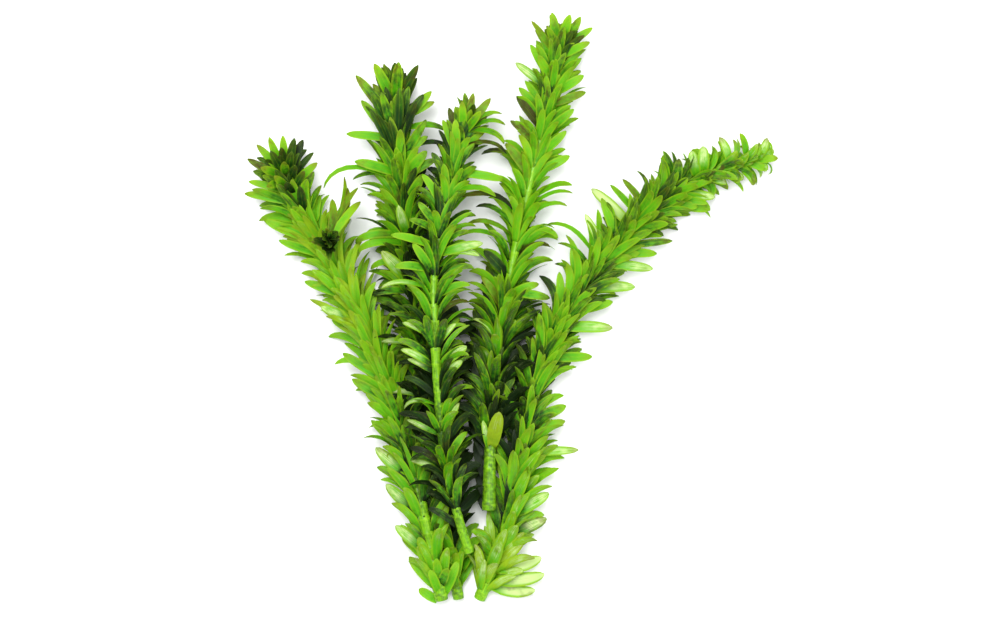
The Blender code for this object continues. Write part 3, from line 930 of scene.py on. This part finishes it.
        (1.3, 75.1, 11, 15, 3.2, 30, 15, "olive"), (22.1, 70.7, 13, 14.5, 3.4, 30, 0, "lime"),
        (-1.6, 66.8, 12, 14, 2.9, 50, 5, "olive"), (-3.1, 58.1, 12, 15.5, 3.4, 56, 15, "olive"),
        (20.7, 53.8, 12, 14.6, 3.6, 30, 0, "lime"), (19.3, 62.8, 13, 14.5, 3.2, 30, 0, "lime"),
        (-11, 54.2, 11, 19.5, 2.6, 90, 73, "olive"), (-8.5, 46.6, 11, 17, 2.6, 84, 73, "green"),
        (-8.5, 39.4, 11, 15.5, 2.4, 84, 78, "green"), (-13.9, 36.2, 11, 19, 2.4, 86, 78, "dark"),
        (-16.7, 29.3, 11, 17.8, 2, 76, 83, "olive"), (-18.9, 25.4, 11, 19, 2.2, 76, 78, "green"),
        (-10.6, 20.3, 15, 14.5, 3.6, 36, 5, "dark"), (-11.7, 11, 13, 15, 2.8, 60, 30, "olive"),
        (-17.1, 8.1, 11, 18, 2.2, 80, 78, "dark"), (-14.2, -4.1, 13, 15, 2, 80, 73, "pale"),
        (-11.7, -13.9, 12, 15, 2.6, 80, 68, "dark"), (-19.6, -29.3, 12, 14.5, 2.4, 90, 68, "pale"),
        (-18.2, -32.9, 12, 14, 2, 90, 73, "olive"), (-1.6, -28.6, 14, 11, 3, 40, 30, "pale"),
        (0.9, -25, 13, 14, 3.2, 30, 30, "green"), (21.1, 41.6, 11, 18.3, 2, 60, 78, "green"),
        (19.6, 36.2, 11, 17, 2.2, 80, 78, "green"), (17.1, 24.7, 11, 14.5, 2.4, 80, 73, "lime"),
        (14.2, 21.4, 11, 14, 2.2, 80, 73, "olive"), (13.1, 3.1, 12, -12.5, 3.4, 80, 10, "lime"),
        (9.9, 7.7, 12, 13, 3, 70, 20, "lime"), (7, 2.3, 12, 14, 2.4, 70, 68, "dark"),
        (-5.2, -38.3, 18, 15, 5.2, 16, 0, "yellow"), (-11, -41.2, 16, 12, 2.4, 20, 10, "pale"),
        (-9.5, 16, 5, 16, 3.8, 30, 0, "black"), (-11, 9.5, 5, 17, 4, 30, 0, "black"),
        (-13.1, 3.8, 5, 18, 4, 30, 0, "black"), (-13.9, -1.3, 5, 18, 4.2, 30, 0, "black"),
        (-15.3, -6.3, 5, 18, 4.2, 30, 0, "black"), (7.7, -5.6, 5, 15, 3.8, 30, 0, "dark"),
        (6.3, -13.9, 5, 15, 3.8, 30, 0, "black"), (-18.2, -12.1, 5, 20, 4.2, 30, 0, "black"),
        (-16, -16.4, 5, 19, 4.4, 30, 0, "black"), (-18.9, -21.4, 5, 20, 4.4, 30, 0, "black"),
        (-15.3, -25, 5, 18, 4.4, 30, 0, "black"), (-16.7, -32.9, 5, 18, 4.4, 30, 0, "black"),
        (-14.6, -40.1, 5, 17, 4.4, 30, 0, "black"), (-13.9, -48.1, 5, 16, 4.4, 30, 0, "black"),
        (-13.1, -56, 5, 15, 4.2, 30, 0, "black"), (-12.4, -63.9, 5, 14, 4, 30, 0, "dark"),
    ),
    "far_right": (
        (95.9, 53.5, 9, 6.5, 2.8, 40, 10, "lime"), (92, 60.7, 9, 8, 3.1, 50, 20, "pale"),
        (92.7, 49.5, 7, 7.5, 2.9, 50, 10, "lime"), (82.3, 62.8, 9, 10.5, 2.8, 45, 68, "lime"),
        (83.7, 46.3, 6, 8.5, 3.3, 60, 10, "pale"), (75.4, 61, 10, 10.5, 3.1, 50, 30, "pale"),
        (77.6, 44.8, 6, 8.5, 3.3, 60, 10, "pale"), (68.9, 57.8, 12, 11.5, 4.2, 60, 0, "pale"),
        (64.6, 56.3, 11, 11, 4.2, 60, 0, "pale"), (54.5, 56.7, 11, 16, 2.9, 20, 73, "green"),
        (60.3, 53.5, 13, 13, 3.6, 30, 0, "dark"), (72.9, 39.4, 8, 13.5, 3.9, 30, 0, "pale"),
        (71.8, 34.4, 7, 17, 3.8, 20, 0, "lime"), (67.5, 36.2, 11, 14, 3.6, 24, 0, "green"),
        (39.1, 46.6, 12, 15.5, 2.8, 14, 35, "olive"), (34.7, 44.5, 12, 16.5, 2.6, 16, 30, "green"),
        (31.9, 39.8, 11, 18, 3.2, 18, 10, "lime"), (28.6, 43.4, 8, 21, 4.4, 12, 10, "glow"),
        (25.4, 33.3, 9, 17, 3, 20, 20, "glow"), (12.4, 30.8, 9, 15.5, 2.2, 84, 73, "lime"),
        (16, 23.2, 9, 11, 2, 60, 73, "green"), (15.3, 16, 9, 13, 2.2, 50, 73, "green"),
        (21.1, 21.8, 10, 16, 3.6, 20, 10, "lime"), (17.1, 12.4, 10, 16, 3.4, 20, 10, "lime"),
        (58.5, 23.9, 8, 21, 3, 16, 20, "green"), (53.1, 20, 9, 17.5, 3.4, 14, 0, "lime"),
        (50.6, 13.9, 9, 18.5, 4, 16, 0, "pale"), (44.1, 8.1, 9, 18.5, 4.2, 16, 0, "pale"),
        (36.2, 1.6, 9, 16.5, 4, 16, 0, "lime"), (35.5, -7, 9, 18, 4.2, 16, 0, "pale"),
        (29.3, -17.8, 9, 17.5, 3.8, 16, 0, "lime"), (-2, -47.3, 8, 15, 3, 20, 10, "dark"),
        (-3.4, -56, 7, 15, 3, 20, 10, "dark"), (-4.5, -64.6, 6, 14, 3, 20, 10, "dark"),
        (0.9, -43.7, 12, 15, 3.2, 20, 0, "green"), (0.2, -51.7, 12, 15, 3.2, 20, 0, "lime"),
        (-0.5, -60.3, 11, 14, 3.2, 20, 0, "green"), (19.3, -35.8, 10, 15.5, 4, 16, 0, "green"),
        (19.3, -40.9, 9, 15.5, 3.6, 18, 0, "lime"), (23.2, -51.7, 8, 20, 3.5, 16, 0, "pale"),
        (13.1, -67.1, 9, 16.5, 4.4, 20, 0, "pale"), (12.4, -75.8, 8, 17, 4.6, 24, 0, "pale"),
        (11, -90.2, 7, 19, 5.2, -40, 45, "glow"), (12.1, -97, 6, 21, 5.6, -46, 45, "glow"),
        (9.2, -102.1, 5, 19, 5, -46, 45, "glow"),
    ),
}
# Each shade's tone, how much whitish painted highlight it has, and how brown
SHADES = {
    "green": (0.1, 0.0, 0.0),
    "lime": (-0.5, 0.05, 0.0),
    "dark": (1.2, 0.0, 0.0),
    "olive": (0.5, 0.0, 0.6),
    "pale": (-0.2, 0.6, 0.0),
    # painted shine: leaves coloured whitish lime as if lit through from behind
    "glow": (-1.2, 1.2, 0.0),
    "yellow": (-1.6, 0.3, 0.3),
    # painted shade: very dark leaves that fill the deep, shaded core of the bunch
    "black": (1.9, 0.0, 0.2),
}
GOLDEN_TURN = math.radians(137.5)
CROWN_LENGTH = 24.0
# How far out from the stem's middle a leaf's root is, as a share of the stem's radius
WHORL_ROOT, PLACED_ROOT = 0.8, 0.7
# How far along the stem a placed leaf's root is looked for, as a multiple of the leaf's length
ROOT_SEARCH = 1.5
PLACED_FACING = 0.55
PLACED_WILDNESS = 0.3
NONE_LOST = 1.1
FOLIAGE_SEED = 1
CROWN_SEED = 11
# The attributes that only the growing of a leaf needs, so that its finished mesh drops them
WORKING = ["out", "root", "start", "bend_by", "long", "wide", "twist", "sway", "phase", "lowest"]
WORKING += ["ahead", "aside", "turn", "length", "width", "spread", "bend", "leaves", "wild", "face"]
WORKING += ["facing", "roll", "stem", "cover", "cleared"]


def unit(vector):
    return vector / np.linalg.norm(vector)


def leaf_row(distance, place, ahead, aside, **values):
    """How the leaves at one place stand, over what most rows have in common."""
    row = {"distance": distance, "place": place, "ahead": ahead, "aside": aside, "turn": 0.0}
    row |= {"leaves": 1, "wild": PLACED_WILDNESS, "facing": 0.0, "stem": 0.0, "brown": 0.0}
    return row | {"cover": NONE_LOST, "cleared": 0.0} | values


def whorl_rows(line, distances, end, habit, across=(0.0, 0.0, 1.0)):
    """A row for each whorl: where it is, how it faces and how its leaves stand."""
    route_at = distances_along(line)[::LINE_STEPS]
    labels = ("leaves", "length", "width", "spread", "bend", "facing", "wild", "tone", "pale")
    labels += ("cover", "cleared")
    rows = []
    for number, distance in enumerate(distances):
        ahead = heading_at(line, distance)
        values = [np.interp(distance, route_at, column) for column in np.array(habit, float).T]
        row = leaf_row(distance, row_at(line, distance)[:3], ahead, unit(np.cross(ahead, across)))
        row |= dict(zip(labels, values)) | {"turn": number * GOLDEN_TURN}
        row["leaves"] = round(row["leaves"])
        rows.append(row | {"stem": radius_at(line, distance, end) * WHORL_ROOT})
    return rows


def placed_row(line, end, tip, length, width, bend, on_edge, shade):
    """A leaf known by its tip: it grows from the point of the stem that is its length away.

    That point is further down the stem, or for a negative length further up it.
    """
    tip = np.array(tip)
    along = distances_along(line)
    reach = np.linalg.norm(line[:, :3] - tip, axis=1)
    nearest = along[np.argmin(reach)]
    towards = 1.0 if length > 0 else -1.0
    there = (along <= end) & ((nearest - along) * towards >= 0)
    there &= np.abs(along - nearest) < ROOT_SEARCH * abs(length)
    root_at = along[there][np.argmin(np.abs(reach[there] - abs(length)))]
    place, ahead = row_at(line, root_at)[:3], heading_at(line, root_at)
    outwards = unit((tip - place) - ahead * np.dot(tip - place, ahead))
    place = place + outwards * radius_at(line, root_at, end) * PLACED_ROOT
    chord = unit(tip - place)
    down = unit(np.cross(chord, np.cross(chord, (0.0, 0.0, 1.0))))
    away = unit(np.cross(down, chord))
    away *= -np.sign(np.dot(away, ahead))
    turned = math.radians(on_edge)
    turns = [(math.radians(bend) * share**2, weight) for share, weight in BEND_SUM]
    forward = sum(math.cos(turn) * weight for turn, weight in turns)
    outward = sum(math.sin(turn) * weight for turn, weight in turns)
    tone, pale, brown = SHADES[shade]
    return leaf_row(
        root_at,
        place,
        chord,
        down * math.cos(turned) + away * math.sin(turned),
        facing=PLACED_FACING,
        length=np.linalg.norm(tip - place) / math.hypot(forward, outward),
        width=width,
        spread=-math.degrees(math.atan2(outward, forward)),
        bend=bend,
        tone=tone,
        pale=pale,
        brown=brown,
    )


def leafy_piece(name, rows, seed_number, others, material):
    columns = {label: [row[label] for row in rows] for label in rows[0]}
    places = columns.pop("place")
    del columns["distance"]
    for label in ("length", "width", "stem"):
        columns[label] = np.array(columns[label]) * MM
    seed = seed_mesh(name + "_whorls", places, [], columns)
    inputs = {"Seed": seed_number, "Other Stems": others, "Material": material}
    return grown_piece(name, seed, leaf_tree, inputs, WORKING)


def other_stems(name):
    """The lines of all the other cuttings' stems, for their leaves to keep clear of."""
    points, edges = [], []
    for other, line in lines.items():
        if other != name:
            edges += [(len(points) + i, len(points) + i + 1) for i in range(len(line) - 1)]
            points += list(line[:, :3])
    obj = bpy.data.objects.new("stems_beside_" + name, seed_mesh(name + "_others", points, edges, {}))
    bpy.context.collection.objects.link(obj)
    return obj


for number, (name, line) in enumerate(lines.items()):
    rows = whorl_rows(line, whorls[name], ends[name], HABITS[name])
    rows += [placed_row(line, ends[name], row[:3], *row[3:]) for row in PLACED[name]]
    crown_at = distances_along(line)[-1] - CROWN_LENGTH
    others = other_stems(name)
    low = [row for row in rows if row["distance"] < crown_at]
    high = [row for row in rows if row["distance"] >= crown_at]
    foliage = leafy_piece(name + "_foliage", low, FOLIAGE_SEED + number, others, leaf_skin)
    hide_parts(name + "_leaves")
    crown = leafy_piece(name + "_crown", high, CROWN_SEED + number, others, young_leaf_skin)
    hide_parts(name + "_tip")
    bpy.data.objects.remove(others)

# Side shoot. A young shoot that has just broken from the far left stem and points at the viewer: a
# tight dark bud, with olive leaves that stand up round one side of it. Its tables have the columns of
# the cuttings' tables, but its hidden stem has no tone.

SIDE_ROUTE = (
    (-66.5, 19.0, 10.0, 1.7, 1.2),
    (-66.0, 22.0, 18.0, 1.7, 1.0),
    (-64.5, 25.0, 27.0, 1.7, 0.6),
)
SIDE_FIRST_WHORL = 5.0
SIDE_END = 15.5
SIDE_SEED = 31
SIDE_HABIT = (
    (5, 9.0, 3.0, 36, 36, 0.0, 1.2, 1.2, 0.0, 1.1, 0),
    (5, 7.0, 2.4, 24, 30, 0.0, 1.2, 1.6, 0.0, 1.1, 0),
    (5, 4.5, 1.9, 20, 30, 0.0, 1.2, 1.8, 0.0, 1.1, 0),
)
SIDE_LEAVES = (
    (-64.0, 38.3, 16.0, 16.0, 3.2, 30, 40, "olive"),
    (-58.0, 41.8, 14.0, 17.0, 3.2, 34, 50, "olive"),
    (-55.0, 43.0, 13.0, 17.0, 2.8, 30, 60, "olive"),
    (-53.3, 36.9, 15.0, 15.0, 3.2, 34, 30, "lime"),
    (-60.3, 45.5, 12.0, 19.0, 2.6, 30, 75, "lime"),
)

side_line = smooth_line(SIDE_ROUTE)
side_whorls = whorl_distances(side_line, SIDE_FIRST_WHORL, SIDE_END)
side_rows = whorl_rows(side_line, side_whorls, SIDE_END, SIDE_HABIT, across=(1.0, 0.0, 0.0))
side_rows += [placed_row(side_line, SIDE_END, row[:3], *row[3:]) for row in SIDE_LEAVES]
others = other_stems("far_left")
side_crown = leafy_piece("side_shoot_crown", side_rows, SIDE_SEED, others, young_leaf_skin)
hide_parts("side_shoot_tip")
bpy.data.objects.remove(others)

# Studio. A plain white table under large soft lamps, with the camera straight above the bunch.

TABLE_REACH = 3.0
WORLD_LIGHT = 0.7
CAMERA_HEIGHT = 1.0
VIEW_WIDTH = 0.36
VIEW_CENTRE = (-4.5 * MM, -2.34 * MM, 12.0 * MM)

table_mesh = bpy.data.meshes.new("table")
corners = [(x * TABLE_REACH, y * TABLE_REACH, 0) for x, y in ((-1, -1), (1, -1), (1, 1), (-1, 1))]
table_mesh.from_pydata(corners, [], [(0, 1, 2, 3)])
table = bpy.data.objects.new("table", table_mesh)
bpy.context.collection.objects.link(table)
table_white, tree, shader, _ = new_material("table_white")
shader.inputs["Base Color"].default_value = (0.88, 0.88, 0.88, 1.0)
shader.inputs["Roughness"].default_value = 0.9
shader.inputs["Specular IOR Level"].default_value = 0.1
table_mesh.materials.append(table_white)


def add_lamp(name, place, size, power):
    data = bpy.data.lights.new(name, "AREA")
    data.shape = "DISK"
    data.size = size
    data.energy = power
    lamp = bpy.data.objects.new(name, data)
    lamp.location = place
    lamp.rotation_euler = (-lamp.location).to_track_quat("-Z", "Y").to_euler()
    bpy.context.collection.objects.link(lamp)


add_lamp("key", (-0.2, 0.32, 1.15), 0.7, 18.0)
add_lamp("fill", (0.75, -0.25, 0.9), 1.0, 8.0)

world = bpy.data.worlds.new("studio")
bpy.context.scene.world = world
world.use_nodes = True
background = world.node_tree.nodes["Background"]
background.inputs["Color"].default_value = (1.0, 1.0, 1.0, 1.0)
background.inputs["Strength"].default_value = WORLD_LIGHT
bpy.context.scene.view_settings.view_transform = "Standard"

camera_data = bpy.data.cameras.new("camera")
camera_data.sensor_width = 36.0
camera_data.lens = camera_data.sensor_width * CAMERA_HEIGHT / VIEW_WIDTH
camera_data.clip_start = 0.01
camera_data.clip_end = 20.0
camera = bpy.data.objects.new("camera", camera_data)
camera.location = (VIEW_CENTRE[0], VIEW_CENTRE[1], VIEW_CENTRE[2] + CAMERA_HEIGHT)
bpy.context.collection.objects.link(camera)
bpy.context.scene.camera = camera
